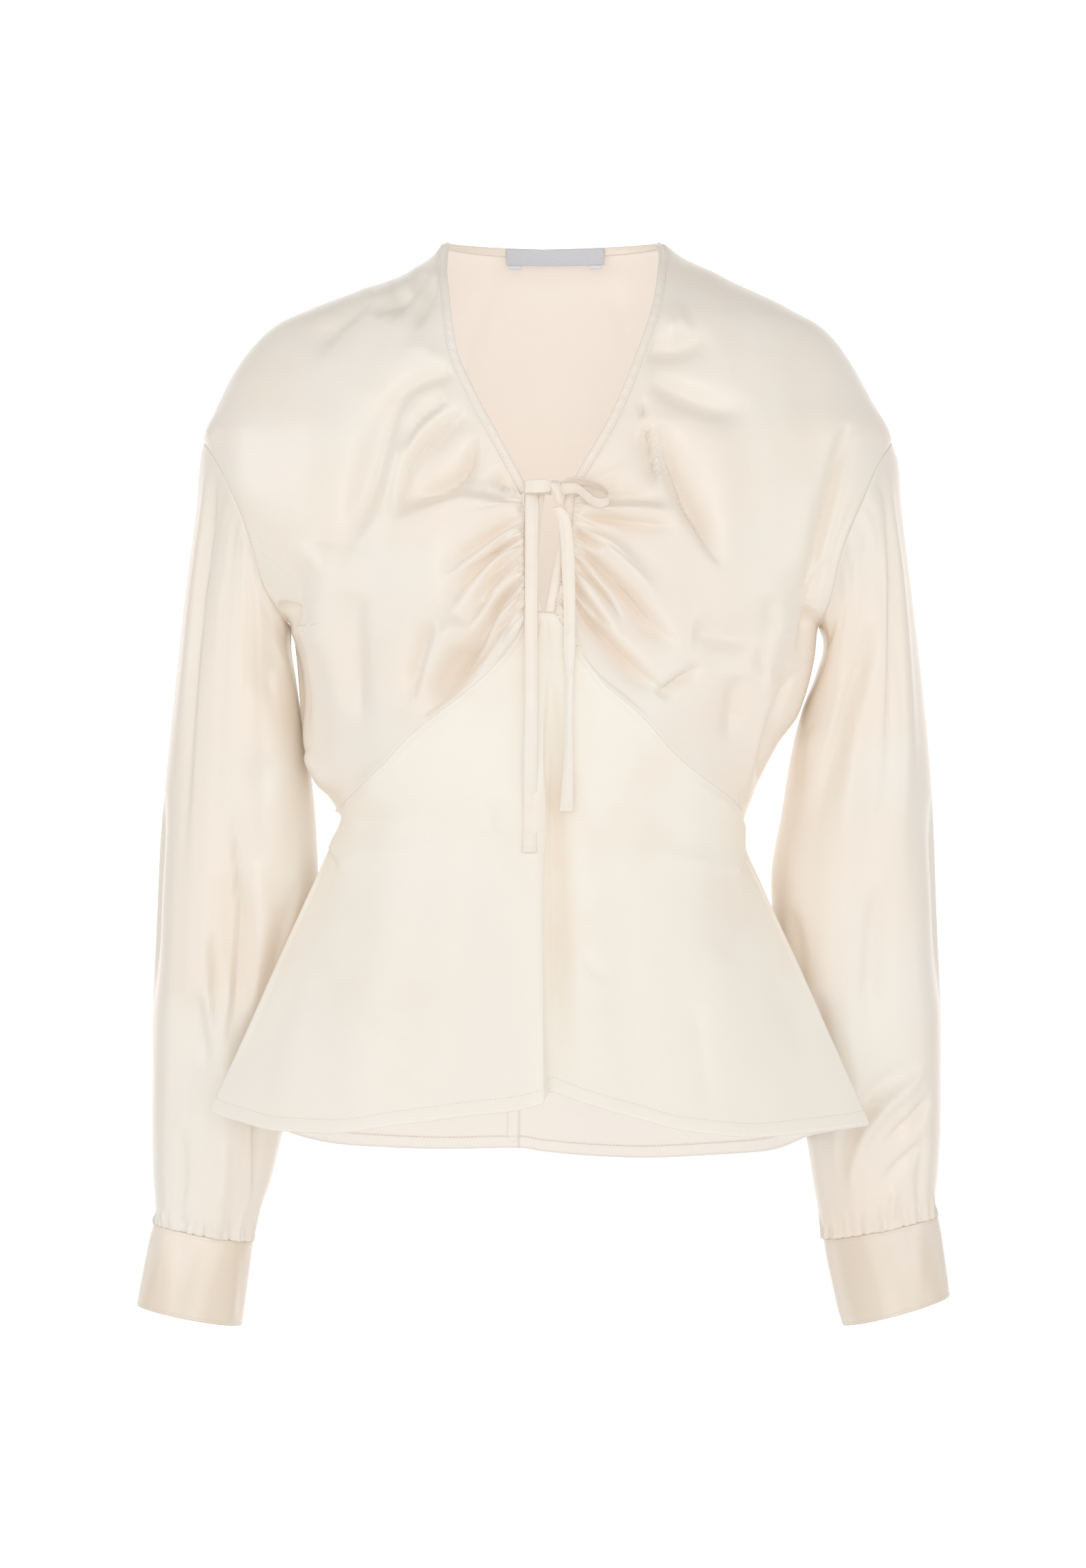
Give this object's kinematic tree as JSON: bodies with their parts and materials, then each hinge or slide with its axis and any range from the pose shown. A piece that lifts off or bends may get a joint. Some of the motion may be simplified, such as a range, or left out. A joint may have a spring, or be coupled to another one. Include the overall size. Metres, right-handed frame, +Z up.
{
  "type": "blouse",
  "caption": "Long-sleeved satin V-neck blouse with a tied keyhole, gathered bust, slanted waist seam and flared lower body, filled out as worn and hollow.",
  "frame": {"origin": "midway between the shoulders, level with the high shoulder points, where the wearer's shoulders hold the blouse", "axes": "+Z up, the front faces -Y, +X towards the wearer's left"},
  "size_m": [0.5503, 0.302, 0.7298],
  "materials": {
    "satin": "cream satin, soft sheen",
    "cuff_satin": "cream satin over stiffening, soft sheen",
    "label_tape": "pale grey woven tape",
    "button": "cream, glossy"
  },
  "bodies": {
    "root": {"front_bodice_right": "satin", "front_bodice_left": "satin", "front_lower": "satin", "back_bodice": "satin", "back_lower_right": "satin", "back_lower_left": "satin", "sleeve_right": "satin", "sleeve_left": "satin", "cuff_right": "cuff_satin", "cuff_left": "cuff_satin", "neck_band": "satin", "keyhole_strip_right": "satin", "keyhole_strip_left": "satin", "tie_tail_right": "satin", "tie_tail_left": "satin", "bow_loop_right": "satin", "bow_loop_left": "satin", "bow_knot": "satin", "neck_label": "label_tape", "cuff_button_right": "button", "cuff_button_left": "button"}
  },
  "joints": []
}
